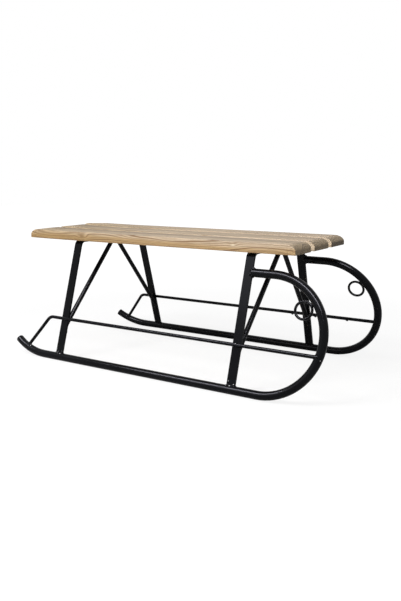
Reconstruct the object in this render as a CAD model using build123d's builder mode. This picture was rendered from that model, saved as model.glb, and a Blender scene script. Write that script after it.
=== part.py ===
# Sled with three wooden planks on a welded steel frame.
# Millimetres, +X forward, +Y to the left, +Z up, runners standing on z = 0.
# Each side of the frame lies in its own plane, leaning inwards from the runner's straight.

import os
from math import cos, pi, radians, sin, sqrt, tan

from build123d import *

# Runners: round tube, straight on the ground, bent up at the tail and round into a loop in front
tube_diameter = 23.0
track = 524.0
side_lean = 17.0
loop_radius = 155.0
loop_setback = 76.0
tail_radius = 215.0
tail_angle = 32.0
tail_setback = 62.0

# Plugs that close the runners' tail ends
plug_height = 4.0
plug_chamfer = 1.2

# Leg frames: flat bar bent into an upturned U, its crossbar under the planks
leg_spacing = 602.0
bar_width = 25.0
bar_thickness = 6.0
bar_bend_radius = 16.0
seat_height_above_loop = 52.0

# Struts: round bar from each leg's inner face up to the middle of the crossbar's front edge
strut_diameter = 14.0
strut_angle = 41.5
strut_top_gap = 1.0
strut_top_ahead = 13.0
strut_tilt = 2.2

# Stringers: round rod along the outer faces of the legs, from the crown of the tail to the loop's flank
rod_diameter = 10.0
rod_height = 117.0
rod_bend_radius = 26.0
rod_bend_behind_leg = 56.0
rod_foot_turn = 21.3
rod_foot_inset = 4.0

# Tow rings: wire rings inside the loops, drawn in short flat lengths to keep such small pieces light
ring_diameter = 52.0
ring_wire = 7.0
ring_angle = 38.0
ring_wire_sides = 8
ring_lengths = 24

# Planks
plank_length = 926.0
plank_width = 100.0
plank_thickness = 28.0
plank_gap = 24.0
plank_nose = 133.0
plank_end_reach = 30.0
plank_end_band = 10.0
plank_edge_chamfer = 2.0

# Room left for the weld between two pieces
weld_gap = 0.2

# Derived sizes and places
tube_radius = tube_diameter / 2
lean = radians(side_lean)
tail_turn = radians(tail_angle)
half_track = track / 2
reach_forward = loop_setback + loop_radius + tube_radius
plug_reach = max(
    plug_height * cos(tail_turn) + (tube_radius - plug_chamfer) * sin(tail_turn),
    (plug_height - plug_chamfer) * cos(tail_turn) + tube_radius * sin(tail_turn),
)
tail_reach = leg_spacing + tail_setback + tail_radius * sin(tail_turn) + plug_reach
reach_back = max(tail_reach, plank_length - plank_nose)
front_leg_x = (reach_back - reach_forward) / 2
rear_leg_x = front_leg_x - leg_spacing
loop_x = front_leg_x + loop_setback
tail_x = rear_leg_x - tail_setback
loop_end_x = front_leg_x + bar_width / 2 + weld_gap

seat_underside = tube_radius + 2 * loop_radius * cos(lean) + seat_height_above_loop
crossbar_z = seat_underside - bar_thickness / 2
crossbar_underside = seat_underside - bar_thickness
leg_foot = tube_radius + weld_gap
rod_offset = bar_thickness / 2 + rod_diameter / 2 + weld_gap
ring_mid_radius = (ring_diameter - ring_wire) / 2
strut_turn = radians(strut_angle)
strut_top_y = strut_diameter / 2 / cos(strut_turn) + strut_top_gap / 2
strut_forward = tan(radians(strut_tilt)) * cos(strut_turn)

# Points of the stringer's path in its side plane
foot_turn = radians(rod_foot_turn)
rod_foot = (tail_x - tail_radius * sin(foot_turn), tail_radius * (1 - cos(foot_turn)))
rod_bend = (rear_leg_x - rod_bend_behind_leg, rod_height)
rod_end = (loop_x + sqrt(loop_radius**2 - (loop_radius - rod_height) ** 2), rod_height)

# Columns: name of the side, its sign along Y
sides = [("left", 1), ("right", -1)]
# Columns: centre, radius, start angle and turn of the runner's two bends
copes = [
    ((tail_x, tail_radius), tail_radius, 270 - tail_angle, tail_angle),
    ((loop_x, loop_radius), loop_radius, 270, 180),
]
# Columns: name of the leg frame, its place along X
frames = [("rear", rear_leg_x), ("front", front_leg_x)]
# Columns: name of the plank, its place across the seat in steps of plank and gap
planks = [("left", 1), ("middle", 0), ("right", -1)]


def side_plane(sign, outward=0.0):
    """Plane of one side of the frame: local x forward, local y up the lean from the runner's centre."""
    inward_normal = (0, -cos(lean), -sign * sin(lean))
    plane = Plane(origin=(0, sign * half_track, tube_radius), x_dir=(1, 0, 0), z_dir=inward_normal)
    return plane.offset(-sign * outward)


os.makedirs("parts", exist_ok=True)

# Runners, their tail plugs, stringers and tow rings, side by side
for side, sign in sides:
    plane = side_plane(sign)

    with BuildPart() as runner:
        with BuildLine(plane) as runner_path:
            CenterArc((tail_x, tail_radius), tail_radius, 270 - tail_angle, tail_angle)
            Line((tail_x, 0), (loop_x, 0))
            CenterArc((loop_x, loop_radius), loop_radius, 270, 180)
            Line((loop_x, 2 * loop_radius), (loop_end_x, 2 * loop_radius))
        with BuildSketch(Plane(origin=runner_path.line @ 0, z_dir=runner_path.line % 0)):
            Circle(tube_radius)
        sweep()
    runner.part.label = f"runner_{side}"
    export_step(runner.part, f"parts/runner_{side}.step")

    tail_end = Plane(origin=runner_path.line @ 0, z_dir=-(runner_path.line % 0))
    with BuildPart() as plug:
        with BuildSketch(tail_end):
            Circle(tube_radius)
        extrude(amount=plug_height)
        chamfer(plug.faces().sort_by(Axis(tail_end.origin, tail_end.z_dir))[-1].edges(), plug_chamfer)
    plug.part.label = f"tail_plug_{side}"
    export_step(plug.part, f"parts/tail_plug_{side}.step")

    # The rod runs from the tail's centreline to the loop's, and is coped to fit round both
    with BuildPart() as stringer:
        foot_point = side_plane(sign, -rod_foot_inset).from_local_coords(Vector(*rod_foot, 0))
        bend_point = side_plane(sign, rod_offset).from_local_coords(Vector(*rod_bend, 0))
        end_point = side_plane(sign, rod_offset).from_local_coords(Vector(*rod_end, 0))
        with BuildLine() as rod_path:
            FilletPolyline(foot_point, bend_point, end_point, radius=rod_bend_radius)
        with BuildSketch(Plane(origin=rod_path.line @ 0, z_dir=rod_path.line % 0)):
            Circle(rod_diameter / 2)
        sweep()
        for centre, radius, start, turn in copes:
            with BuildLine(plane) as cope_path:
                CenterArc(centre, radius, start, turn)
            with BuildSketch(Plane(origin=cope_path.line @ 0, z_dir=cope_path.line % 0)):
                Circle(tube_radius + weld_gap)
            sweep(mode=Mode.SUBTRACT)
    stringer.part.label = f"stringer_{side}"
    export_step(stringer.part, f"parts/stringer_{side}.step")

    ring_reach = loop_radius - tube_radius - weld_gap - ring_diameter / 2
    ring_x = loop_x + ring_reach * cos(radians(ring_angle))
    ring_up = loop_radius + ring_reach * sin(radians(ring_angle))
    turns = [2 * pi * corner / ring_lengths for corner in range(ring_lengths)]
    ring_corners = [
        (ring_x + ring_mid_radius * cos(turn), ring_up + ring_mid_radius * sin(turn)) for turn in turns
    ]
    first_middle = 0.5 / ring_lengths
    with BuildPart() as tow_ring:
        with BuildLine(plane) as ring_path:
            Polyline(*ring_corners, close=True)
        with BuildSketch(Plane(origin=ring_path.line @ first_middle, z_dir=ring_path.line % first_middle)):
            RegularPolygon(ring_wire / 2, ring_wire_sides)
        sweep(transition=Transition.RIGHT)
    tow_ring.part.label = f"tow_ring_{side}"
    export_step(tow_ring.part, f"parts/tow_ring_{side}.step")

# Leg frames with their struts
for end, leg_x in frames:
    frame_plane = Plane.YZ.offset(leg_x)
    foot_y = half_track - leg_foot * sin(lean)
    foot_z = tube_radius + leg_foot * cos(lean)
    corner_y = half_track - (crossbar_z - tube_radius) * tan(lean)

    with BuildPart() as leg_frame:
        with BuildLine(frame_plane) as bar_path:
            FilletPolyline(
                (-foot_y, foot_z),
                (-corner_y, crossbar_z),
                (corner_y, crossbar_z),
                (foot_y, foot_z),
                radius=bar_bend_radius,
            )
        with BuildSketch(Plane(origin=bar_path.line @ 0, x_dir=(1, 0, 0), z_dir=bar_path.line % 0)):
            Rectangle(bar_width, bar_thickness)
        sweep()
    leg_frame.part.label = f"leg_frame_{end}"
    export_step(leg_frame.part, f"parts/leg_frame_{end}.step")

    # Each strut's axis runs down, outwards and a little back from the crossbar's front edge
    for side, sign in sides:
        inner_face = side_plane(sign, -(bar_thickness / 2 + weld_gap))
        top_point = (leg_x + strut_top_ahead, sign * strut_top_y, crossbar_underside)
        upward = (strut_forward, -sign * sin(strut_turn), cos(strut_turn))
        with BuildPart() as strut:
            with BuildSketch(Plane(origin=top_point, z_dir=upward)):
                Circle(strut_diameter / 2)
            extrude(amount=seat_underside, both=True)
            split(bisect_by=Plane.XY.offset(crossbar_underside - weld_gap), keep=Keep.BOTTOM)
            split(bisect_by=inner_face, keep=Keep.TOP if sign > 0 else Keep.BOTTOM)
        strut.part.label = f"strut_{end}_{side}"
        export_step(strut.part, f"parts/strut_{end}_{side}.step")

# Planks on the crossbars: each end is rounded over from the top down to an upright band,
# and the long top edges are eased
plank_front = front_leg_x + plank_nose
plank_back = plank_front - plank_length
flat_front = plank_front - plank_end_reach
flat_back = plank_back + plank_end_reach
plank_top = seat_underside + plank_thickness
band_top = seat_underside + plank_end_band
for name, step in planks:
    plank_y = step * (plank_width + plank_gap)
    with BuildPart() as plank:
        with BuildSketch(Plane.XZ.offset(-plank_y)):
            with BuildLine():
                Polyline(
                    (plank_back, band_top),
                    (plank_back, seat_underside),
                    (plank_front, seat_underside),
                    (plank_front, band_top),
                )
                TangentArc((flat_front, plank_top), (plank_front, band_top), tangent=(1, 0))
                Line((flat_front, plank_top), (flat_back, plank_top))
                TangentArc((flat_back, plank_top), (plank_back, band_top), tangent=(-1, 0))
            make_face()
        extrude(amount=plank_width / 2, both=True)
        upper_edges = ShapeList()
        for side_face in (plank.faces().sort_by(Axis.Y)[0], plank.faces().sort_by(Axis.Y)[-1]):
            upper_edges += side_face.edges().filter_by(lambda edge: edge.center().Z > band_top)
        chamfer(upper_edges, plank_edge_chamfer)
    plank.part.label = f"plank_{name}"
    export_step(plank.part, f"parts/plank_{name}.step")
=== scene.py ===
import math
import bpy
import numpy as np
from mathutils import Matrix, Vector


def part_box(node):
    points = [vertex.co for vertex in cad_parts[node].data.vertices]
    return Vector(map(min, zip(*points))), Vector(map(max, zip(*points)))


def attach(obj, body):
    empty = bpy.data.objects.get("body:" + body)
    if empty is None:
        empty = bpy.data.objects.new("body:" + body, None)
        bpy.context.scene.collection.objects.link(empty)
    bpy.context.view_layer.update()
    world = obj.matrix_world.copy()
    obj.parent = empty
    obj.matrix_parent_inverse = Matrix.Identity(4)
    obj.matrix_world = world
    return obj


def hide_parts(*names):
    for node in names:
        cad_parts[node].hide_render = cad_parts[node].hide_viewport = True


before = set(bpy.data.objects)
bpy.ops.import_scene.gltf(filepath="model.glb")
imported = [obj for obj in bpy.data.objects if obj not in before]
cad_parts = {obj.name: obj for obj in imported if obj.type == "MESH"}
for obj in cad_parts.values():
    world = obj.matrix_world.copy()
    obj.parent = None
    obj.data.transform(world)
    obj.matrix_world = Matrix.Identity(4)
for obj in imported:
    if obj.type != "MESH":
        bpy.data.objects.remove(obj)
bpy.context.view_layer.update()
print("frame loaded,", len(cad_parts), "nodes")

# sizes the pieces share, in metres and degrees; everything else is read from the frame
sled = {
    "tubeRadius": 0.0115,
    "sideLean": 17.0,
    "tailRadius": 0.215,
    "tailAngle": 32.0,
    "barThickness": 0.006,
    "rodRadius": 0.0050,
    "rodHeight": 0.117,
    "rodFootTurn": 21.3,
    "rodFootInset": 0.004,
    "rodBendBehindLeg": 0.056,
    "strutRadius": 0.0070,
    "strutAngle": 41.5,
    "strutTilt": 2.2,
    "strutTopGap": 0.001,
    "strutTopAhead": 0.013,
    "weldGap": 0.0002,
}

tubeRadius, tailRadius = sled["tubeRadius"], sled["tailRadius"]
rodRadius, rodHeight = sled["rodRadius"], sled["rodHeight"]
halfBar = sled["barThickness"] / 2
rodOut = halfBar + sled["weldGap"] + rodRadius
lean = math.radians(sled["sideLean"])
sinLean, cosLean = math.sin(lean), math.cos(lean)
runnerLow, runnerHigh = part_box("runner_left")
halfTrack = runnerHigh.y - tubeRadius
loopRadius = (runnerHigh.z - 2 * tubeRadius) / (2 * cosLean)
loopX = runnerHigh.x - loopRadius - tubeRadius
tailTurn = math.radians(sled["tailAngle"])
tailX = runnerLow.x + (tailRadius + tubeRadius) * math.sin(tailTurn)
legBoxes = {end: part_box("leg_frame_" + end) for end in ("rear", "front")}
legX = {end: (low.x + high.x) / 2 for end, (low, high) in legBoxes.items()}
barWidth = legBoxes["front"][1].x - legBoxes["front"][0].x
crossbarTop = legBoxes["front"][1].z
crossbarUnder = crossbarTop - sled["barThickness"]
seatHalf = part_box("plank_left")[1].y
sideSigns = {"left": 1, "right": -1}


# point of a side frame: along the sled, up its leaning plane from the runner's centre, and out of that plane
def onSide(sign, x, up, out):
    x, up, out = np.broadcast_arrays(x, up, out)
    y = sign * (halfTrack - up * sinLean + out * cosLean)
    z = tubeRadius + up * cosLean + out * sinLean
    return np.stack([x, y, z], -1)


# direction out of a side frame's plane
def outward(sign):
    return np.array([0, sign * cosLean, sinLean])


# direction up a side frame's plane
def upward(sign):
    return np.array([0, -sign * sinLean, cosLean])


# even turns round a full circle
def fullTurn(steps):
    return np.linspace(0, 2 * np.pi, steps, endpoint=False)


# closed shell from a grid of points: columns wrap round; rows wrap too, or each end row fans in to its middle
def gridShell(points, wrapRows=False):
    rows, cols = points.shape[:2]
    i, j = np.meshgrid(np.arange(rows if wrapRows else rows - 1), np.arange(cols), indexing="ij")
    iNext, jNext = (i + 1) % rows, (j + 1) % cols
    corners = [i * cols + j, iNext * cols + j, iNext * cols + jNext, i * cols + jNext]
    quads = np.stack(corners, -1).reshape(-1, 4)
    flat = points.reshape(-1, 3)
    tris = np.zeros((0, 3), int)
    if not wrapRows:
        first, last = np.arange(cols), np.arange(cols) + (rows - 1) * cols
        flat = np.concatenate([flat, points[:1].mean(1), points[-1:].mean(1)])
        tris = np.concatenate([
            np.stack([np.full(cols, rows * cols), first, np.roll(first, -1)], -1),
            np.stack([np.full(cols, rows * cols + 1), np.roll(last, -1), last], -1),
        ])
    # a shell that holds a negative volume is inside out
    halves = np.concatenate([quads[:, [0, 1, 2]], quads[:, [0, 2, 3]], tris])
    a, b, c = np.moveaxis(flat[halves] - flat.mean(0), 1, 0)
    if np.einsum("ij,ij->", a, np.cross(b, c)) < 0:
        quads, tris = quads[:, ::-1], tris[:, ::-1]
    return flat, quads, tris


# one mesh object from several shells, riding on the sled
def makePiece(name, shells, material, nodes=()):
    starts = np.cumsum([0] + [len(shell[0]) for shell in shells])
    points = np.concatenate([shell[0] for shell in shells])
    quads = np.concatenate([shell[1] + start for shell, start in zip(shells, starts)])
    tris = np.concatenate([shell[2] + start for shell, start in zip(shells, starts)])
    mesh = bpy.data.meshes.new(name)
    mesh.from_pydata(points.tolist(), [], quads.tolist() + tris.tolist())
    mesh.shade_smooth()
    mesh.materials.append(material)
    piece = bpy.data.objects.new(name, mesh)
    bpy.context.scene.collection.objects.link(piece)
    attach(piece, "root")
    if nodes:
        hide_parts(*nodes)
    return piece


# points spread evenly along a path, by its length
def evenPath(path, count, closed):
    if closed:
        path = np.concatenate([path, path[:1]])
    along = np.concatenate([[0], np.cumsum(np.linalg.norm(np.diff(path, axis=0), axis=1))])
    wanted = np.linspace(0, along[-1], count, endpoint=not closed)
    return np.stack([np.interp(wanted, along, path[:, k]) for k in range(3)], -1)


# round section carried along a path: centre + radius (cos a u + sin a w), u and w square to the path
def sweptShell(path, across, radius, sides, closed):
    if closed:
        tangent = np.roll(path, -1, 0) - np.roll(path, 1, 0)
    else:
        tangent = np.gradient(path, axis=0)
    tangent /= np.linalg.norm(tangent, axis=1, keepdims=True)
    u = across - (tangent * across).sum(1, keepdims=True) * tangent
    u /= np.linalg.norm(u, axis=1, keepdims=True)
    w = np.cross(tangent, u)
    angle = fullTurn(sides)[None, :, None]
    reach = np.broadcast_to(radius, (len(path),))[:, None, None]
    rim = np.cos(angle) * u[:, None] + np.sin(angle) * w[:, None]
    return gridShell(path[:, None] + reach * rim, closed)


# profile turned about an axis: origin + height along the axis + radius (cos a u + sin a w)
def turnedShell(origin, axis, heights, radii, sides):
    axis = np.array(axis) / np.linalg.norm(axis)
    u = np.cross(axis, (0, 1, 0))
    u /= np.linalg.norm(u)
    w = np.cross(axis, u)
    angle = fullTurn(sides)[None, :, None]
    rim = np.cos(angle) * u + np.sin(angle) * w
    return gridShell(np.array(origin) + heights[:, None, None] * axis + radii[:, None, None] * rim)


# ellipsoid: latitude and longitude grid stretched to three radii
def ellipsoidShell(centre, radii, rows=9, cols=14):
    lat = np.linspace(-np.pi / 2, np.pi / 2, rows + 2)[1:-1, None]
    lon = fullTurn(cols)[None]
    unit = np.stack([np.cos(lat) * np.cos(lon), np.cos(lat) * np.sin(lon), np.sin(lat) + 0 * lon], -1)
    return gridShell(np.array(centre) + unit * np.array(radii))


# shader node whose inputs take either a value or another node's output
def addNode(tree, kind, inputs=None, **settings):
    node = tree.nodes.new(kind)
    for key, value in settings.items():
        setattr(node, key, value)
    for key, value in (inputs or {}).items():
        if isinstance(value, bpy.types.NodeSocket):
            tree.links.new(value, node.inputs[key])
        else:
            node.inputs[key].default_value = value
    return node


def calc(tree, operation, a, b=0.0, c=0.0, clamp=False):
    node = addNode(tree, "ShaderNodeMath", {0: a, 1: b, 2: c}, operation=operation, use_clamp=clamp)
    return node.outputs[0]


def vectorCalc(tree, operation, a, b=(0, 0, 0)):
    node = addNode(tree, "ShaderNodeVectorMath", {0: a, 1: b}, operation=operation)
    return node.outputs["Value" if operation == "LENGTH" else "Vector"]


def splitAxes(tree, vector):
    return addNode(tree, "ShaderNodeSeparateXYZ", {0: vector}).outputs


def greyOf(tree, value):
    return addNode(tree, "ShaderNodeCombineColor", {0: value, 1: value, 2: value}).outputs[0]


# smooth step from low to high, as a factor from 0 to 1
def ease(tree, value, low, high):
    node = addNode(tree, "ShaderNodeMapRange", {0: value, 1: low, 2: high}, interpolation_type="SMOOTHSTEP")
    return node.outputs[0]


# the same step turned round, from 1 to 0
def fade(tree, value, low, high):
    return calc(tree, "SUBTRACT", 1.0, ease(tree, value, low, high))


def mixColor(tree, factor, a, b, blend="MIX"):
    node = addNode(tree, "ShaderNodeMix", {0: factor, 6: a, 7: b}, data_type="RGBA", blend_type=blend)
    return node.outputs[2]


# noise on stretched object coordinates, from 0 to 1
def grainNoise(tree, place, stretch, detail=2.0, rough=0.5, shift=(0, 0, 0)):
    moved = addNode(tree, "ShaderNodeMapping", {0: place, 1: shift, 3: stretch}).outputs[0]
    settings = {"Vector": moved, "Scale": 1.0, "Detail": detail, "Roughness": rough}
    return addNode(tree, "ShaderNodeTexNoise", settings).outputs["Fac"]


def newMaterial(name):
    material = bpy.data.materials.new(name)
    material.use_nodes = True
    tree = material.node_tree
    shader = tree.nodes["Principled BSDF"]
    place = addNode(tree, "ShaderNodeTexCoord").outputs["Object"]
    return material, tree, shader, place


def solid(color):
    return (*color, 1.0)


coatLook = {
    "deep": (0.0013, 0.0015, 0.0024),
    "thin": (0.0024, 0.0027, 0.0040),
    "clouds": (9, 9, 9),  # noise between deep and thin, per metre
    "cloudRange": (0.3, 0.7),
    "rubbed": (0.060, 0.058, 0.056),  # runner soles, worn by the ground
    "rubbedHeight": (0.0002, 0.0016),
    "rubbedPatch": (14, 60, 60),
    "rubbedRange": (0.42, 0.62),
    "rough": (0.15, 0.24),
    "roughRange": (0.25, 0.75),
    "specular": 0.088,
    "peel": 0.10,
    "peelDepth": 0.0002,
    "peelGrain": (950, 950, 950),
    "edgeRound": 0.0010,
}


# satin black powder coat with orange peel, softened edges and runner soles rubbed a little grey
def blackCoat():
    material, tree, shader, place = newMaterial("blackCoat")
    clouds = grainNoise(tree, place, coatLook["clouds"], 4.0)
    patch = grainNoise(tree, place, coatLook["rubbedPatch"], 5.0, 0.6)
    nearGround = fade(tree, splitAxes(tree, place)["Z"], *coatLook["rubbedHeight"])
    sole = calc(tree, "MULTIPLY", nearGround, ease(tree, patch, *coatLook["rubbedRange"]))
    thinned = ease(tree, clouds, *coatLook["cloudRange"])
    paint = mixColor(tree, thinned, solid(coatLook["deep"]), solid(coatLook["thin"]))
    tree.links.new(mixColor(tree, sole, paint, solid(coatLook["rubbed"])), shader.inputs["Base Color"])
    low, high = coatLook["rough"]
    rough = calc(tree, "MULTIPLY_ADD", ease(tree, clouds, *coatLook["roughRange"]), high - low, low)
    tree.links.new(rough, shader.inputs["Roughness"])
    shader.inputs["Specular IOR Level"].default_value = coatLook["specular"]
    edge = addNode(tree, "ShaderNodeBevel", {0: coatLook["edgeRound"]}, samples=6).outputs[0]
    relief = {"Strength": coatLook["peel"], "Distance": coatLook["peelDepth"], "Normal": edge}
    relief["Height"] = grainNoise(tree, place, coatLook["peelGrain"], 1.0)
    bump = addNode(tree, "ShaderNodeBump", relief)
    tree.links.new(bump.outputs[0], shader.inputs["Normal"])
    return material


glintLook = {
    "bright": (0.72, 0.71, 0.69),
    "dull": (0.34, 0.33, 0.32),
    "speckle": (1600, 1600, 1600),
    "speckleRange": (0.35, 0.65),
    "rough": 0.28,
}


# painted glints: weld spatter given bright bare-steel metal, standing in for glints on the weld beads
def bareGlint():
    material, tree, shader, place = newMaterial("weldGlint")
    speckle = ease(tree, grainNoise(tree, place, glintLook["speckle"]), *glintLook["speckleRange"])
    shade = mixColor(tree, speckle, solid(glintLook["dull"]), solid(glintLook["bright"]))
    tree.links.new(shade, shader.inputs["Base Color"])
    shader.inputs["Metallic"].default_value = 1.0
    shader.inputs["Roughness"].default_value = glintLook["rough"]
    return material


woodLook = {
    # pale: partly a painted highlight along the top of the sides
    "pale": (0.596, 0.464, 0.324),  # upper part of the sides
    "golden": (0.468, 0.315, 0.152),  # lower part of the sides
    "late": (0.235, 0.136, 0.062),  # dark summer line of a ring
    "weatherPale": (0.456, 0.351, 0.235),  # tops, greyed in streaks
    "weatherDark": (0.188, 0.141, 0.089),
    # gap: painted light on the sides inside the gaps
    "gap": (0.680, 0.560, 0.410),
    "endGrain": (0.340, 0.256, 0.154),
    # endDark: dark of the dirt specks in the end grain, and of the painted shade along its foot
    "endDark": (0.055, 0.037, 0.019),
    "darkKnot": (0.230, 0.135, 0.066),
    "paleKnot": (0.760, 0.650, 0.470),
    # painted shade: the wood is darker and more golden towards the rear, where less light falls
    "rearShadeTint": (0.83, 0.80, 0.71),  # darker and more golden towards the rear
    "fibreTone": (0.82, 1.16),
    "rough": (0.46, 0.62),
    "specular": 0.2,
    "relief": 0.35,
    "reliefDepth": 0.0004,
    "lineRelief": 0.5,
    "fibreRelief": 0.6,
}

# how much of each tone comes through, from 0 to 1
woodShare = {
    # lowEdge: how strongly painted shade darkens the sides along their lower edge
    "lowEdge": 0.62,
    "weather": 0.80,
    # painted shade: tops darker towards their left edge and paler towards the right
    "farEdgeShade": 0.34,  # tops paler towards the right edge
    "weatherStreaks": 0.76,
    "gap": 0.80,
    "pores": 0.40,
    "specks": 0.40,
    "endRings": 0.85,
}

# heights above the planks' underside; rear: along x, where the painted rear shade comes in; outerSide: in
# from the seat's edge
woodPlace = {
    # border: the pale band above it is partly a painted highlight
    "border": (0.006, 0.022),  # golden below, pale above
    "wander": 0.030,
    # painted shade: the golden lower band rises towards the rear
    "rearClimb": 0.006,  # of the border, towards the rear
    # lowEdge: band of painted shade along the sides' lower edge
    "lowEdge": (0.0006, 0.0042),
    # endFoot: band of painted shade at the ends' foot
    "endFoot": (0.010, 0.017),
    "rear": (-0.50, 0.10),
    "outerSide": (0.006, 0.002),
}

# how far a face has turned up, sideways or endways where its tone comes in
woodFacing = {"top": (0.35, 0.95), "gap": (0.88, 0.99), "end": (0.08, 0.54)}

# noise along, across and up the planks, per metre
woodNoise = {
    "sway": ((2.4, 12, 12), (3.0, 12, 12)),
    "knot": (70, 160, 160),
    "fibre": (7, 420, 420),
    "border": (2.2, 20, 60),
    "weather": (1.3, 34, 20),
    "pores": (36, 1300, 1300),
    "specks": (60, 620, 620),
}

# part of its noise over which each mark comes up
woodRange = {
    "fibre": (0.25, 0.75),
    "weather": (0.38, 0.62),
    "pores": (0.62, 0.70),
    "specks": (0.38, 0.68),
    "years": (0.38, 0.62),
}

# part of a year over which the dark line comes and goes; its strength, least and added in strong years
ringLook = {"rise": (0.15, 0.80), "fall": (0.86, 1.0), "yearScale": 0.55, "least": 0.22, "added": 0.80}

# flatten: across the plank; reach: of the swelling, in sizes; core: where its colour fades, in sizes
knotLook = {"flatten": 0.6, "reach": 2.4, "core": (0.2, 0.9), "ragged": 0.006}

# pith: where the tree's heart runs beside the plank, y and z at its middle; tilt: its drift per metre of x;
# rings: spacing; sway: how far they wander; shift: where in the noise the plank is cut;
# bleached: share of pale streaks on top; rearDull: how much of it is lost towards the rear, as painted shade;
# endDark: painted shade along the ends' foot;
# knots: place, size, how many rings swell round it, stretch along x, core, strength
plankGrain = {
    "left": {
        "pith": (0.100, 0.322), "tilt": (0.020, 0.012), "rings": 0.0046, "sway": 0.022,
        "shift": (3.1, 7.7, 1.9), "bleached": 0.66, "rearDull": 0.0, "endDark": 0.95,
        "knots": [((-0.12, 0.10, 0.388), 0.006, 0.8, 0.30, "darkKnot", 0.4)],
    },
    "middle": {
        "pith": (-0.030, 0.318), "tilt": (-0.015, 0.020), "rings": 0.0050, "sway": 0.022,
        "shift": (8.4, 2.3, 5.2), "bleached": 0.46, "rearDull": 0.0, "endDark": 0.55,
        "knots": [((0.21, 0.03, 0.388), 0.006, 0.8, 0.30, "darkKnot", 0.4)],
    },
    "right": {
        "pith": (-0.120, 0.336), "tilt": (0.034, 0.012), "rings": 0.0047, "sway": 0.030,
        "shift": (1.2, 4.6, 9.3), "bleached": 0.44, "rearDull": 0.34, "endDark": 0.50,
        "knots": [
            ((-0.299, -0.174, 0.374), 0.0065, 1.2, 0.45, "darkKnot", 0.55),
            ((0.229, -0.174, 0.378), 0.0045, 0.7, 0.45, "paleKnot", 0.85),
            ((-0.425, -0.174, 0.371), 0.0170, 3.6, 0.15, "golden", 0.15),
            ((0.345, -0.174, 0.366), 0.0150, -3.2, 0.15, "golden", 0.15),
            ((0.010, -0.174, 0.380), 0.0120, 2.2, 0.12, "pale", 0.15),
        ],
    },
}


# rings counted out from the heart: distance over spacing, swayed by noise and swelling round each knot
def ringCount(tree, place, axes, grain):
    shift = grain["shift"]
    fromHeart = []
    for k, noiseShift in enumerate((shift, shift[::-1])):
        sway = calc(tree, "SUBTRACT", grainNoise(tree, place, woodNoise["sway"][k], shift=noiseShift), 0.5)
        heart = calc(tree, "MULTIPLY_ADD", axes["X"], grain["tilt"][k], grain["pith"][k])
        away = calc(tree, "SUBTRACT", axes["YZ"[k]], heart)
        fromHeart.append(calc(tree, "MULTIPLY_ADD", sway, grain["sway"], away))
    joined = addNode(tree, "ShaderNodeCombineXYZ", {1: fromHeart[0], 2: fromHeart[1]}).outputs[0]
    count = calc(tree, "DIVIDE", vectorCalc(tree, "LENGTH", joined), grain["rings"])
    cores = []
    ripple = calc(tree, "SUBTRACT", grainNoise(tree, place, woodNoise["knot"], shift=shift), 0.5)
    for spot, size, swell, stretch, coreName, strength in grain["knots"]:
        fromSpot = vectorCalc(tree, "SUBTRACT", place, spot)
        squeezed = vectorCalc(tree, "MULTIPLY", fromSpot, (stretch, knotLook["flatten"], 1.0))
        away = vectorCalc(tree, "LENGTH", squeezed)
        near = fade(tree, away, 0.0, size * knotLook["reach"])
        count = calc(tree, "MULTIPLY_ADD", near, swell, count)
        ragged = calc(tree, "MULTIPLY_ADD", ripple, knotLook["ragged"], away)
        inside = fade(tree, ragged, *(size * part for part in knotLook["core"]))
        cores.append((calc(tree, "MULTIPLY", inside, strength), coreName))
    return count, cores


# dark line of each ring, stronger in some years
def ringLine(tree, count):
    part = calc(tree, "FRACT", count)
    line = calc(tree, "MULTIPLY", ease(tree, part, *ringLook["rise"]), fade(tree, part, *ringLook["fall"]))
    settings = {"W": count, "Scale": ringLook["yearScale"], "Detail": 1.0}
    yearNoise = addNode(tree, "ShaderNodeTexNoise", settings, noise_dimensions="1D").outputs["Fac"]
    strong = ease(tree, yearNoise, *woodRange["years"])
    strength = calc(tree, "MULTIPLY_ADD", strong, ringLook["added"], ringLook["least"])
    return calc(tree, "MULTIPLY", line, strength)


# sides pass from golden below to pale above, along a wandering border, with the rings' lines on them; the
# pale upper band is wood tone and partly a painted highlight under the top edge
def sideTone(tree, place, axes, rearShade, line, shift):
    border = calc(tree, "SUBTRACT", grainNoise(tree, place, woodNoise["border"], 3.0, 0.55, shift[::-1]), 0.5)
    level = calc(tree, "MULTIPLY_ADD", border, woodPlace["wander"], axes["Z"])
    level = calc(tree, "MULTIPLY_ADD", rearShade, -woodPlace["rearClimb"], level)
    low, high = woodPlace["border"]
    rise = ease(tree, level, crossbarTop + low, crossbarTop + high)
    color = mixColor(tree, rise, solid(woodLook["golden"]), solid(woodLook["pale"]))
    color = mixColor(tree, line, color, solid(woodLook["late"]))
    # painted shade: the sides darken along their lower edge
    low, high = woodPlace["lowEdge"]
    lowEdge = fade(tree, axes["Z"], crossbarTop + low, crossbarTop + high)
    lowEdge = calc(tree, "MULTIPLY", lowEdge, woodShare["lowEdge"])
    return mixColor(tree, lowEdge, color, solid(woodLook["late"]))


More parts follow.
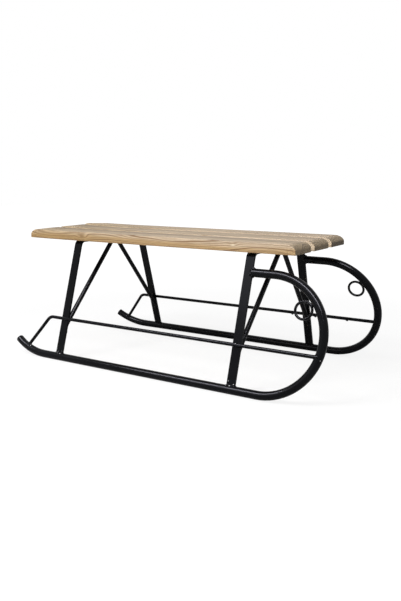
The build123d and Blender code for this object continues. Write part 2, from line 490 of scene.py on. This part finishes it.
# tops are greyed by weather, in streaks; painted shade darkens each top towards its left edge, so it is
# palest along the right edge
def weatherTone(tree, place, axes, rearShade, name, grain):
    low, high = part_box("plank_" + name)
    fromMiddle = calc(tree, "SUBTRACT", (low.y + high.y) / 2, axes["Y"])
    across = calc(tree, "DIVIDE", fromMiddle, (high.y - low.y) / 2)
    noise = grainNoise(tree, place, woodNoise["weather"], 3.0, 0.6, grain["shift"])
    streaks = ease(tree, noise, *woodRange["weather"])
    least = grain["bleached"] - woodShare["weatherStreaks"] / 2
    share = calc(tree, "MULTIPLY_ADD", across, woodShare["farEdgeShade"], least)
    share = calc(tree, "MULTIPLY_ADD", rearShade, -grain["rearDull"], share)
    share = calc(tree, "MULTIPLY_ADD", streaks, woodShare["weatherStreaks"], share, clamp=True)
    return mixColor(tree, share, solid(woodLook["weatherDark"]), solid(woodLook["weatherPale"]))


# end grain shows the rings as arcs and soaks up dirt in specks; painted shade darkens it most along its lower
# edge
def endTone(tree, place, axes, line, grain):
    dark = solid(woodLook["endDark"])
    noise = grainNoise(tree, place, woodNoise["specks"], 3.0, 0.6, grain["shift"])
    specks = calc(tree, "MULTIPLY", ease(tree, noise, *woodRange["specks"]), woodShare["specks"])
    low, high = woodPlace["endFoot"]
    foot = fade(tree, axes["Z"], crossbarTop + low, crossbarTop + high)
    specksAndShade = calc(tree, "MULTIPLY_ADD", foot, grain["endDark"], specks, clamp=True)
    color = mixColor(tree, specksAndShade, solid(woodLook["endGrain"]), dark)
    return mixColor(tree, calc(tree, "MULTIPLY", line, woodShare["endRings"]), color, dark)


# solid wood: rings round a drifting heart, so that the faces, edges and ends of a plank agree
def plankWood(name, grain):
    material, tree, shader, place = newMaterial("plankWood" + name.capitalize())
    shift = grain["shift"]
    axes = splitAxes(tree, place)
    facing = splitAxes(tree, addNode(tree, "ShaderNodeNewGeometry").outputs["Normal"])
    # painted shade: the planks darken and turn more golden towards the rear
    rearShade = fade(tree, axes["X"], *woodPlace["rear"])
    count, cores = ringCount(tree, place, axes, grain)
    line = ringLine(tree, count)
    color = sideTone(tree, place, axes, rearShade, line, shift)
    topward = calc(tree, "MULTIPLY", ease(tree, facing["Z"], *woodFacing["top"]), woodShare["weather"])
    color = mixColor(tree, topward, color, weatherTone(tree, place, axes, rearShade, name, grain))
    # pores make short dashes
    pores = grainNoise(tree, place, woodNoise["pores"], 1.0, 0.5, shift)
    dash = calc(tree, "MULTIPLY", ease(tree, pores, *woodRange["pores"]), woodShare["pores"])
    color = mixColor(tree, dash, color, solid(woodLook["late"]))
    # painted light: sides inside the gaps are painted paler, as if lit
    low, high = woodPlace["outerSide"]
    hidden = fade(tree, calc(tree, "ABSOLUTE", axes["Y"]), seatHalf - low, seatHalf - high)
    sideward = ease(tree, calc(tree, "ABSOLUTE", facing["Y"]), *woodFacing["gap"])
    gapLight = calc(tree, "MULTIPLY", calc(tree, "MULTIPLY", hidden, sideward), woodShare["gap"])
    color = mixColor(tree, gapLight, color, solid(woodLook["gap"]))
    # fibres lighten and darken
    fibre = grainNoise(tree, place, woodNoise["fibre"], 3.0, 0.6, shift)
    low, high = woodLook["fibreTone"]
    streak = calc(tree, "MULTIPLY_ADD", ease(tree, fibre, *woodRange["fibre"]), high - low, low)
    color = mixColor(tree, 1.0, color, greyOf(tree, streak), "MULTIPLY")
    endward = ease(tree, calc(tree, "ABSOLUTE", facing["X"]), *woodFacing["end"])
    color = mixColor(tree, endward, color, endTone(tree, place, axes, line, grain))
    for core, coreName in cores:
        color = mixColor(tree, core, color, solid(woodLook[coreName]))
    color = mixColor(tree, rearShade, color, solid(woodLook["rearShadeTint"]), "MULTIPLY")
    tree.links.new(color, shader.inputs["Base Color"])
    low, high = woodLook["rough"]
    tree.links.new(calc(tree, "MULTIPLY_ADD", fibre, high - low, low), shader.inputs["Roughness"])
    shader.inputs["Specular IOR Level"].default_value = woodLook["specular"]
    relief = {"Strength": woodLook["relief"], "Distance": woodLook["reliefDepth"]}
    fuzz = calc(tree, "MULTIPLY", fibre, woodLook["fibreRelief"])
    relief["Height"] = calc(tree, "MULTIPLY_ADD", line, woodLook["lineRelief"], fuzz)
    tree.links.new(addNode(tree, "ShaderNodeBump", relief).outputs[0], shader.inputs["Normal"])
    return material


paint = blackCoat()
glint = bareGlint()
print("materials made")

# CAD pieces whose shape is right take the coat as they are
for nodeName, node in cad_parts.items():
    if nodeName.startswith(("runner", "stringer", "leg_frame", "strut")):
        node.data.materials.clear()
        node.data.materials.append(paint)
print("frame coated")

# waves: how fast the sawn surface sways, along the top, across it and along the edges, per metre;
# lift: how far the overhanging rear end has warped up, at the plank's right and left edge
plankSpec = {
    "topEdge": 0.0026,
    "lowEdge": 0.0014,
    "endEdge": 0.0016,
    "endReach": 0.030,
    "endBand": 0.010,
    "sway": 0.0004,
    "waves": (7.3, 38.0, 9.1),
    "phase": {"left": 0.7, "middle": 2.9, "right": 5.1},
    "lift": {"left": (0.0085, 0.0015), "middle": (0.0040, 0.0045), "right": (0.0010, 0.0020)},
    "liftCurve": 1.6,
    "wideSteps": 15,
    "narrowSteps": 5,
    "cornerSteps": 7,
    "runEnds": (0.004, 0.02),  # first two columns of a straight run, as parts of it
    "rowSteps": (6, 22, 44),  # end's edge, nose, half the length
    "noseCrowd": 1.5,
    "endFace": (0.94, 0.5),  # rows drawn in on each end, as parts of its outline
}


# columns of a plank's section, as y = a halfWidth + b and z = bottom + c height + d, round from the top left
def plankColumns():
    topEdge, lowEdge = plankSpec["topEdge"], plankSpec["lowEdge"]
    wide, narrow, steps = plankSpec["wideSteps"], plankSpec["narrowSteps"], plankSpec["cornerSteps"]

    # quarter circle at a corner
    def corner(turn, edge, a, c):
        angle = np.radians(np.linspace(turn, turn + 90, steps))
        b = edge * (np.cos(angle) - a)
        d = edge * (np.sin(angle) - (1 if c else -1))
        return np.stack([np.full(steps, a), b, np.full(steps, c), d], -1)

    # straight run, with a close column at each end to keep the corner crisp
    def run(a, b, c, d, count):
        first, second = plankSpec["runEnds"]
        f = np.concatenate([[first], np.linspace(second, 1 - second, count), [1 - first]])[:, None]
        start, end = np.array([a, b, c, d]).T
        return start + (end - start) * f

    return np.concatenate([
        run((1, -1), (-topEdge, topEdge), (1, 1), (0, 0), wide),
        corner(90, topEdge, -1, 1),
        run((-1, -1), (0, 0), (1, 0), (-topEdge, lowEdge), narrow),
        corner(180, lowEdge, -1, 0),
        run((-1, 1), (lowEdge, -lowEdge), (0, 0), (0, 0), wide),
        corner(270, lowEdge, 1, 0),
        run((1, 1), (0, 0), (0, 1), (lowEdge, -topEdge), narrow),
        corner(0, topEdge, 1, 1),
    ])


# rows along a plank: its distance from the end grows along a quarter circle, then along the nose, then evenly
def plankRows(low, high):
    reach, endEdge = plankSpec["endReach"], plankSpec["endEdge"]
    edgeSteps, noseSteps, halfSteps = plankSpec["rowSteps"]
    fromEnd = np.concatenate([
        endEdge * (1 - np.cos(np.linspace(0, np.pi / 2, edgeSteps))),
        endEdge + (reach - endEdge) * np.linspace(0, 1, noseSteps)[1:] ** plankSpec["noseCrowd"],
        np.linspace(reach, (high.x - low.x) / 2, halfSteps)[1:],
    ])
    return np.concatenate([low.x + fromEnd, (high.x - fromEnd[:-1])[::-1]])[:, None]


# plank: rounded section carried along x; at each end the top falls along a quarter ellipse and every edge
# draws in along a quarter circle; sines sway the faces, and a power of the overhang lifts the rear
def plankShell(name):
    low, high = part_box("plank_" + name)
    reach, endEdge, sway = plankSpec["endReach"], plankSpec["endEdge"], plankSpec["sway"]
    drop = high.z - low.z - plankSpec["endBand"]
    x = plankRows(low, high)
    d = np.minimum(x - low.x, high.x - x)
    fall = drop * (1 - np.sqrt(1 - np.clip(1 - d / reach, 0, 1) ** 2))
    inset = endEdge - np.sqrt(np.clip(endEdge**2 - np.clip(endEdge - d, 0, endEdge) ** 2, 0, None))
    a, b, c, e = plankColumns().T
    bottom, top = low.z + inset, high.z - fall - inset
    y = a * ((high.y - low.y) / 2 - inset) + b
    z = bottom + c * (top - bottom) + e
    phase = plankSpec["phase"][name]
    alongTop, acrossTop, alongEdge = plankSpec["waves"]
    z = z - c * sway * (1 + np.sin(alongTop * x + phase) * np.sin(acrossTop * y + 2 * phase))
    onEdge = np.sign(a) * (np.abs(a) > 0.99)
    y = y - onEdge * sway * (0.5 + 0.5 * np.sin(alongEdge * x + 3 * phase))
    held = legX["rear"] - barWidth / 2
    over = np.clip((held - x) / (held - low.x), 0, 1) ** plankSpec["liftCurve"]
    atRight, atLeft = plankSpec["lift"][name]
    z = z + over * (atRight + (atLeft - atRight) * (y / (high.y - low.y) + 0.5))
    grid = np.stack([x + 0 * y, y + (low.y + high.y) / 2, z], -1)
    # each end face is drawn in towards its middle in two more rows
    inner = np.array(plankSpec["endFace"])[:, None, None]
    first, last = grid[:1], grid[-1:]
    firstMid, lastMid = first.mean(1, keepdims=True), last.mean(1, keepdims=True)
    rearFace = (firstMid + (first - firstMid) * inner)[::-1]
    frontFace = lastMid + (last - lastMid) * inner
    return gridShell(np.concatenate([rearFace, grid, frontFace]))


for name, grain in plankGrain.items():
    wood = plankWood(name, grain)
    makePiece("plank" + name.capitalize(), [plankShell(name)], wood, ["plank_" + name])
print("planks made")

ringSpec = {"midRadius": 0.0225, "wire": 0.0035, "angle": 38.0, "steps": 96, "sides": 20}
ringReach = loopRadius - tubeRadius - sled["weldGap"] - ringSpec["midRadius"] - ringSpec["wire"]
ringTurn = math.radians(ringSpec["angle"])


# point on the loop's spoke that carries the ring, so far from the loop's centre
def ringSpoke(sign, reach):
    return onSide(sign, loopX + reach * math.cos(ringTurn), loopRadius + reach * math.sin(ringTurn), 0.0)


# tow ring: circle in the side plane, with a round wire carried along it
def ringShell(sign):
    turn = fullTurn(ringSpec["steps"])[:, None]
    circle = np.cos(turn) * np.array([1.0, 0, 0]) + np.sin(turn) * upward(sign)
    path = ringSpoke(sign, ringReach) + ringSpec["midRadius"] * circle
    return sweptShell(path, outward(sign), ringSpec["wire"], ringSpec["sides"], True)


for side, sign in sideSigns.items():
    makePiece("towRing" + side.capitalize(), [ringShell(sign)], paint, ["tow_ring_" + side])
print("tow rings made")

capSpec = {"height": 0.0040, "edge": 0.0024, "dome": 0.0004, "tip": 0.0008, "steps": 8, "sides": 56}


# tail cap: straight rim, quarter circle over the edge, then a face domed as 1 - r squared
def capShell(sign):
    edge, dome, steps = capSpec["edge"], capSpec["dome"], capSpec["steps"]
    corner = np.linspace(0, np.pi / 2, steps)
    inner = np.linspace(tubeRadius - edge, capSpec["tip"], steps)[1:]
    flatTop = capSpec["height"] - dome
    overEdge = flatTop - edge * (1 - np.sin(corner))
    heights = np.concatenate([[0.0], overEdge, flatTop + dome * (1 - (inner / tubeRadius) ** 2)])
    radii = np.concatenate([[tubeRadius], tubeRadius - edge * (1 - np.cos(corner)), inner])
    endX, endUp = tailX - tailRadius * math.sin(tailTurn), tailRadius * (1 - math.cos(tailTurn))
    start = onSide(sign, endX, endUp, 0.0)
    beyond = onSide(sign, endX - math.cos(tailTurn), endUp + math.sin(tailTurn), 0.0)
    return turnedShell(start, beyond - start, heights, radii, capSpec["sides"])


for side, sign in sideSigns.items():
    makePiece("tailCap" + side.capitalize(), [capShell(sign)], paint, ["tail_plug_" + side])
print("tail caps made")

beadSpec = {
    "foot": 0.0021,
    "loopEnd": 0.0019,
    "crossing": 0.0016,
    "cope": 0.0014,
    "strut": 0.0017,
    # how far each bead's middle line stands off the metal
    "proud": {"foot": 0.0006, "loopEnd": 0.0008, "crossing": 0.0007, "cope": 0.0002, "strut": 0.0003},
    "crossingReach": 0.46,  # to each side, in bar widths
    "crossingUp": 0.8,  # above and below the rod's middle, in its radii
    "heel": (0.0056, 0.0044, 0.0115),  # lump under a strut's foot
    "heelAhead": 0.0030,
    # lumps round the loop's end: along, up, out, radii
    "patch": [
        (-0.0035, 0.0035, 0.0025, (0.0050, 0.0045, 0.0065)),
        (-0.0040, -0.0050, 0.0025, (0.0055, 0.0045, 0.0060)),
        (-0.0015, -0.0005, 0.0035, (0.0040, 0.0040, 0.0100)),
        (0.0015, 0.0095, 0.0010, (0.0060, 0.0040, 0.0055)),
        (0.0010, -0.0105, 0.0005, (0.0045, 0.0040, 0.0045)),
    ],
    "ringLump": (0.0046, 0.0036, 0.0046),
    "ringLumpIn": 0.0012,
    "ripple": 0.0026,
    "rippleSteps": 7,
    "swell": (0.86, 0.24, 0.10),  # radius: least, added by a ripple, swaying along the joint
    "phaseStep": 0.1,  # from bead to bead
    "thinEnd": 0.02,
    "copeReach": 0.97,  # of the tube's radius
    "outlineSteps": 720,
    "pathSteps": 240,
    "runSteps": 40,
    "halvings": 40,
    "sides": 12,
}


# rounded rectangle as a superellipse: |a/A|^6 + |b/B|^6 = 1
def roundedOutline(halfA, halfB):
    turn = fullTurn(beadSpec["outlineSteps"])
    a = halfA * np.sign(np.cos(turn)) * np.abs(np.cos(turn)) ** (1 / 3)
    b = halfB * np.sign(np.sin(turn)) * np.abs(np.sin(turn)) ** (1 / 3)
    return a, b


# weld bead: round section along the joint, its radius rising and falling once a ripple and swaying twice
# along the joint; an open bead tapers off
def beadShell(path, across, size, closed, phase):
    length = np.linalg.norm(np.diff(path, axis=0), axis=1).sum()
    ripples = max(4, round(length / beadSpec["ripple"]))
    even = evenPath(path, ripples * beadSpec["rippleSteps"], closed)
    t = np.linspace(0, 1, len(even), endpoint=not closed)
    least, added, swayed = beadSpec["swell"]
    ripple = np.abs(np.sin(np.pi * ripples * t))
    radius = size * (least + added * ripple + swayed * np.sin(2 * np.pi * (2 * t + phase)))
    if not closed:
        radius = radius * np.sqrt(np.clip(1 - (2 * t - 1) ** 6, beadSpec["thinEnd"], 1))
    return sweptShell(even, np.array(across, float), radius, beadSpec["sides"], closed)


# round the foot of a leg, on the top of the runner: outline of the bar laid on the tube's circle
def footPath(sign, x):
    proud = beadSpec["proud"]["foot"]
    a, out = roundedOutline(barWidth / 2 + proud, halfBar + proud)
    return onSide(sign, x + a, np.sqrt(tubeRadius**2 - out**2), out)


# where the loop's tube ends on the front edge of the leg
def loopEndPath(sign):
    up, out = roundedOutline(tubeRadius, halfBar + beadSpec["proud"]["loopEnd"])
    return onSide(sign, legX["front"] + barWidth / 2 + sled["weldGap"], 2 * loopRadius + up, out)


# round the end of the stringer: where lines along the rod's skin first come within the tube's radius of the
# bend's centre line, found by halving; start and direction are along, up and out of the side frame
def copePath(sign, start, direction, centre, bendRadius):
    start, direction = np.array(start), np.array(direction) / np.linalg.norm(direction)
    u = np.cross(direction, (0, 0, 1.0))
    u /= np.linalg.norm(u)
    w = np.cross(direction, u)
    turn = fullTurn(beadSpec["pathSteps"])[:, None]
    line = start + (rodRadius + beadSpec["proud"]["cope"]) * (np.cos(turn) * u + np.sin(turn) * w)
    # the outermost lines would pass the tube by
    line[:, 2] = np.clip(line[:, 2], None, beadSpec["copeReach"] * tubeRadius)
    low, high = np.zeros_like(turn), np.ones_like(turn)
    for step in range(beadSpec["halvings"]):
        middle = (low + high) / 2
        point = line + middle * direction
        fromBend = np.hypot(point[:, 0] - centre[0], point[:, 1] - centre[1]) - bendRadius
        reached = ((np.hypot(fromBend, point[:, 2]) < tubeRadius) | (fromBend > 0))[:, None]
        low, high = np.where(reached, low, middle), np.where(reached, middle, high)
    return onSide(sign, *(line + high * direction).T)


# round an end of a strut: lines along its skin cut by a plane, kept on the bar
def strutPath(sign, x, planePoint, planeNormal):
    slope, tilt = math.radians(sled["strutAngle"]), math.radians(sled["strutTilt"])
    topY = sled["strutRadius"] / math.cos(slope) + sled["strutTopGap"] / 2
    axis = np.array([-math.tan(tilt) * math.cos(slope), sign * math.sin(slope), -math.cos(slope)])
    across = np.array([0, sign * math.cos(slope), math.sin(slope)])
    turn = fullTurn(beadSpec["pathSteps"])[:, None]
    rim = np.cos(turn) * np.array([1.0, 0, 0]) + np.sin(turn) * across
    top = np.array([x + sled["strutTopAhead"], sign * topY, crossbarUnder])
    line = top + (sled["strutRadius"] + beadSpec["proud"]["strut"]) * rim
    path = line + ((planePoint - line) @ planeNormal / (axis @ planeNormal))[:, None] * axis
    path[:, 0] = np.clip(path[:, 0], None, x + barWidth / 2)
    return path


beads = []


def addBead(path, across, sizeName, closed=True):
    phase = beadSpec["phaseStep"] * len(beads)
    beads.append(beadShell(path, across, beadSpec[sizeName], closed, phase))


# foot of a leg, the rod crossing it, and both ends of its strut
def weldLeg(sign, x):
    addBead(footPath(sign, x), upward(sign), "foot")
    reach = beadSpec["crossingReach"] * barWidth
    run = x + np.linspace(-reach, reach, beadSpec["runSteps"])
    for step in (-beadSpec["crossingUp"], beadSpec["crossingUp"]):
        path = onSide(sign, run, rodHeight + step * rodRadius, halfBar + beadSpec["proud"]["crossing"])
        addBead(path, outward(sign), "crossing", False)
    strutFoot = strutPath(sign, x, onSide(sign, 0.0, 0.0, -halfBar), outward(sign))
    addBead(strutFoot, outward(sign), "strut")
    heel = strutFoot[strutFoot[:, 2].argmin()] + np.array([beadSpec["heelAhead"], 0, 0])
    beads.append(ellipsoidShell(heel, beadSpec["heel"], 13, 16))
    level = np.array([0, 0, 1.0])
    addBead(strutPath(sign, x, crossbarUnder * level, level), level, "strut")


# end of the loop on the front leg
def weldLoopEnd(sign):
    addBead(loopEndPath(sign), (1, 0, 0), "loopEnd")
    endX = legX["front"] + barWidth / 2
    for along, up, out, radii in beadSpec["patch"]:
        beads.append(ellipsoidShell(onSide(sign, endX + along, 2 * loopRadius + up, out), radii))


# both ends of the stringer, on the tail and in the loop
def weldRod(sign):
    footTurn = math.radians(sled["rodFootTurn"])
    bend = np.array([legX["rear"] - sled["rodBendBehindLeg"], rodHeight, rodOut])
    footX, footUp = tailX - tailRadius * math.sin(footTurn), tailRadius * (1 - math.cos(footTurn))
    fall = np.array([footX, footUp, -sled["rodFootInset"]]) - bend
    down = onSide(sign, *fall) - onSide(sign, 0.0, 0.0, 0.0)
    addBead(copePath(sign, bend, fall, (tailX, tailRadius), tailRadius), down, "cope")
    ahead = (1.0, 0.0, 0.0)
    nose = (legX["front"], rodHeight, rodOut)
    addBead(copePath(sign, nose, ahead, (loopX, loopRadius), loopRadius), ahead, "cope")


for sign in sideSigns.values():
    for x in legX.values():
        weldLeg(sign, x)
    weldLoopEnd(sign)
    weldRod(sign)
    ringTouch = ringSpoke(sign, loopRadius - tubeRadius - beadSpec["ringLumpIn"])
    beads.append(ellipsoidShell(ringTouch, beadSpec["ringLump"]))
makePiece("weldBeads", beads, paint)
print("weld beads made")

# spots: bright specks standing in for glints on the right side, along, up and out of the side frame;
# round each leg's foot more lie scattered: spread in bar widths, rise from the tube's top
spatterSpec = {
    "spots": [
        (0.2666, 0.0218, 0.0030), (0.2729, 0.0098, 0.0062), (0.2835, 0.0152, 0.0030),
        (-0.3203, 0.0097, 0.0063), (0.2754, 0.1205, 0.0120), (-0.4456, 0.0184, 0.0070),
        (0.5087, 0.1099, 0.0095),
    ],
    "spotSize": 0.0012,
    "perFoot": 6,
    "size": (0.0004, 0.0009),
    "spread": 0.55,
    "rise": (-0.002, 0.010),
    "onBar": 0.48,
    "onTube": 0.0098,
    "seed": 11,
}
rng = np.random.default_rng(spatterSpec["seed"])


# speck of spatter: small ball half sunk in the bar or the tube
def speckShell(place, size):
    return ellipsoidShell(place, (size, size, size), 5, 8)


def scatterFoot(sign, x):
    specks = []
    for size in rng.uniform(*spatterSpec["size"], spatterSpec["perFoot"]):
        along = rng.uniform(-spatterSpec["spread"], spatterSpec["spread"]) * barWidth
        up = tubeRadius + rng.uniform(*spatterSpec["rise"])
        out = halfBar
        if abs(along) >= spatterSpec["onBar"] * barWidth or up <= tubeRadius:
            up = min(up, spatterSpec["onTube"])
            out = math.sqrt(tubeRadius**2 - up**2)
        specks.append(speckShell(onSide(sign, x + along, up, out), size))
    return specks


spatter = [speckShell(onSide(-1, *spot), spatterSpec["spotSize"]) for spot in spatterSpec["spots"]]
for sign in sideSigns.values():
    for x in legX.values():
        spatter += scatterFoot(sign, x)
makePiece("weldSpatter", spatter, glint)
print("weld spatter made")

dripSpec = {"places": (0.223, 0.302, 0.406), "radii": (0.0040, 0.0022, 0.0030)}
drips = []
for place in dripSpec["places"]:
    hang = onSide(1, place, rodHeight, rodOut) - np.array([0, 0, rodRadius])
    drips.append(ellipsoidShell(hang, dripSpec["radii"], 11, 16))
makePiece("paintDrips", drips, paint)
print("paint drips made")

screwSpec = {
    "head": 0.0046,
    "height": 0.0026,
    "cross": 0.0030,
    "slot": 0.0007,
    "depth": 0.0014,
    "slotSlope": 0.0003,
    "crossSlope": 0.0006,
    "rim": 0.9,  # how far the dome has come down at the head's edge
    "tip": 0.0001,
    "apart": 0.060,
    "rings": 22,
    "sides": 48,
}


# pan head screw: height over a polar grid, a dome with a cross cut into it, closed under the bar
def screwShell(x, y):
    head = screwSpec["head"]
    r = np.concatenate([[head], np.linspace(head, screwSpec["tip"], screwSpec["rings"])])[:, None]
    turn = fullTurn(screwSpec["sides"])[None]
    dome = screwSpec["height"] * np.sqrt(np.clip(1 - screwSpec["rim"] * (r / head) ** 4, 0, 1))
    acrossX, acrossY = np.abs(r * np.cos(turn)), np.abs(r * np.sin(turn))
    narrow, wide = np.minimum(acrossX, acrossY), np.maximum(acrossX, acrossY)
    inSlot = np.clip((screwSpec["slot"] - narrow) / screwSpec["slotSlope"], 0, 1)
    inCross = np.clip((screwSpec["cross"] - wide) / screwSpec["crossSlope"], 0, 1)
    height = dome - inSlot * inCross * screwSpec["depth"]
    height[0] = 0.0
    return gridShell(np.stack([x + r * np.cos(turn), y + r * np.sin(turn), crossbarUnder - height], -1))


screws = []
for x in legX.values():
    for name in plankGrain:
        low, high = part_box("plank_" + name)
        for step in (-0.5, 0.5):
            screws.append(screwShell(x, (low.y + high.y) / 2 + step * screwSpec["apart"]))
makePiece("screws", screws, paint)
print("screws made")

# bounce: what the floor throws back on the sled; seen: how much of its shading the lens gets,
# glow making up the white; near and far: where the shadow's floor runs out into white
floorSpec = {
    "half": 9.0,
    "bounce": 0.84,
    "seen": 0.17,
    "glow": 0.842,
    "near": 0.9,
    "far": 2.4,
    "mottle": 0.04,
    "cloud": (3, 3, 3),
}


# pale floor that keeps the shadow near the sled and runs into the white behind it
def paleFloor():
    half = floorSpec["half"]
    corners = [(-half, -half, 0), (half, -half, 0), (half, half, 0), (-half, half, 0)]
    mesh = bpy.data.meshes.new("floor")
    mesh.from_pydata(corners, [], [(0, 1, 2, 3)])
    material = bpy.data.materials.new("paleFloor")
    material.use_nodes = True
    tree = material.node_tree
    tree.nodes.clear()
    place = addNode(tree, "ShaderNodeTexCoord").outputs["Object"]
    seen = addNode(tree, "ShaderNodeLightPath").outputs["Is Camera Ray"]
    tone = calc(tree, "MULTIPLY_ADD", seen, floorSpec["seen"] - floorSpec["bounce"], floorSpec["bounce"])
    mottle = floorSpec["mottle"]
    noise = grainNoise(tree, place, floorSpec["cloud"], 3.0)
    cloud = calc(tree, "MULTIPLY_ADD", noise, mottle, 1 - mottle / 2)
    shade = greyOf(tree, calc(tree, "MULTIPLY", tone, cloud))
    matte = addNode(tree, "ShaderNodeBsdfDiffuse", {0: shade}).outputs[0]
    away = ease(tree, vectorCalc(tree, "LENGTH", place), floorSpec["near"], floorSpec["far"])
    glow = calc(tree, "MULTIPLY_ADD", away, 1 - floorSpec["glow"], floorSpec["glow"])
    light = addNode(tree, "ShaderNodeEmission", {1: calc(tree, "MULTIPLY", glow, seen)}).outputs[0]
    both = addNode(tree, "ShaderNodeAddShader", {0: matte, 1: light}).outputs[0]
    addNode(tree, "ShaderNodeOutputMaterial", {0: both})
    mesh.materials.append(material)
    floor = bpy.data.objects.new("floor", mesh)
    bpy.context.scene.collection.objects.link(floor)


paleFloor()
print("floor laid")

worldSpec = {"ambient": 0.45, "seen": 1.0}


# soft even light all round; the lens, mirrors and glass see plain white
def whiteWorld():
    world = bpy.data.worlds.new("studio")
    bpy.context.scene.world = world
    world.use_nodes = True
    tree = world.node_tree
    tree.nodes.clear()
    path = addNode(tree, "ShaderNodeLightPath").outputs
    mirrored = calc(tree, "MAXIMUM", path["Is Glossy Ray"], path["Is Transmission Ray"])
    shown = calc(tree, "MAXIMUM", path["Is Camera Ray"], mirrored)
    ambient = worldSpec["ambient"]
    strength = calc(tree, "MULTIPLY_ADD", shown, worldSpec["seen"] - ambient, ambient)
    light = addNode(tree, "ShaderNodeBackground", {0: (1, 1, 1, 1), 1: strength}).outputs[0]
    addNode(tree, "ShaderNodeOutputWorld", {0: light})


whiteWorld()
print("world lit")

# place, aim, width, height, watts; "soft" lamps light without mirroring in the coat,
# "sharp" ones only mirror in it
lampSpec = {
    "key": ((-0.90, -2.00, 2.25), (0.1, 0.0, 0.25), 0.9, 0.9, 52, "soft"),
    "over": ((0.15, -1.10, 2.60), (0.2, 0.0, 0.25), 1.8, 0.35, 16, "soft"),
    "fill": ((2.60, -0.60, 1.20), (0.2, 0.0, 0.2), 1.0, 1.0, 6, "soft"),
    "strip": ((-0.125, -1.45, 2.05), (-0.125, -0.2, 0.2), 3.25, 0.45, 235, "sharp"),
    "low": ((-1.05, -2.40, 1.55), (0.2, -0.2, 0.2), 1.2, 0.9, 9, "sharp"),
}
lampTint = {"soft": (1.0, 1.0, 1.0), "sharp": (0.90, 0.89, 1.0)}
for name, (place, aim, width, height, watts, kind) in lampSpec.items():
    lamp = bpy.data.lights.new(name, "AREA")
    lamp.shape = "RECTANGLE"
    lamp.size, lamp.size_y = width, height
    lamp.energy = watts
    lamp.color = lampTint[kind]
    stand = bpy.data.objects.new(name, lamp)
    stand.location = place
    stand.rotation_euler = (Vector(aim) - Vector(place)).to_track_quat("-Z", "Y").to_euler()
    stand.visible_glossy = kind != "soft"
    stand.visible_diffuse = kind != "sharp"
    bpy.context.scene.collection.objects.link(stand)
print("lamps set")

cameraSpec = {
    "place": (1.07174, -1.68356, 0.54928),
    "yaw": 31.997,
    "pitch": 10.530,
    "roll": 0.208,
    "lens": 39.314,
    "sensor": 36.0,
}
lens = bpy.data.cameras.new("camera")
lens.lens = cameraSpec["lens"]
lens.sensor_width = cameraSpec["sensor"]
camera = bpy.data.objects.new("camera", lens)
camera.matrix_world = (
    Matrix.Translation(cameraSpec["place"])
    @ Matrix.Rotation(math.radians(cameraSpec["yaw"]), 4, "Z")
    @ Matrix.Rotation(math.radians(90 - cameraSpec["pitch"]), 4, "X")
    @ Matrix.Rotation(math.radians(cameraSpec["roll"]), 4, "Z")
)
bpy.context.scene.collection.objects.link(camera)
bpy.context.scene.camera = camera
bpy.context.scene.view_settings.view_transform = "Standard"
print("camera set")
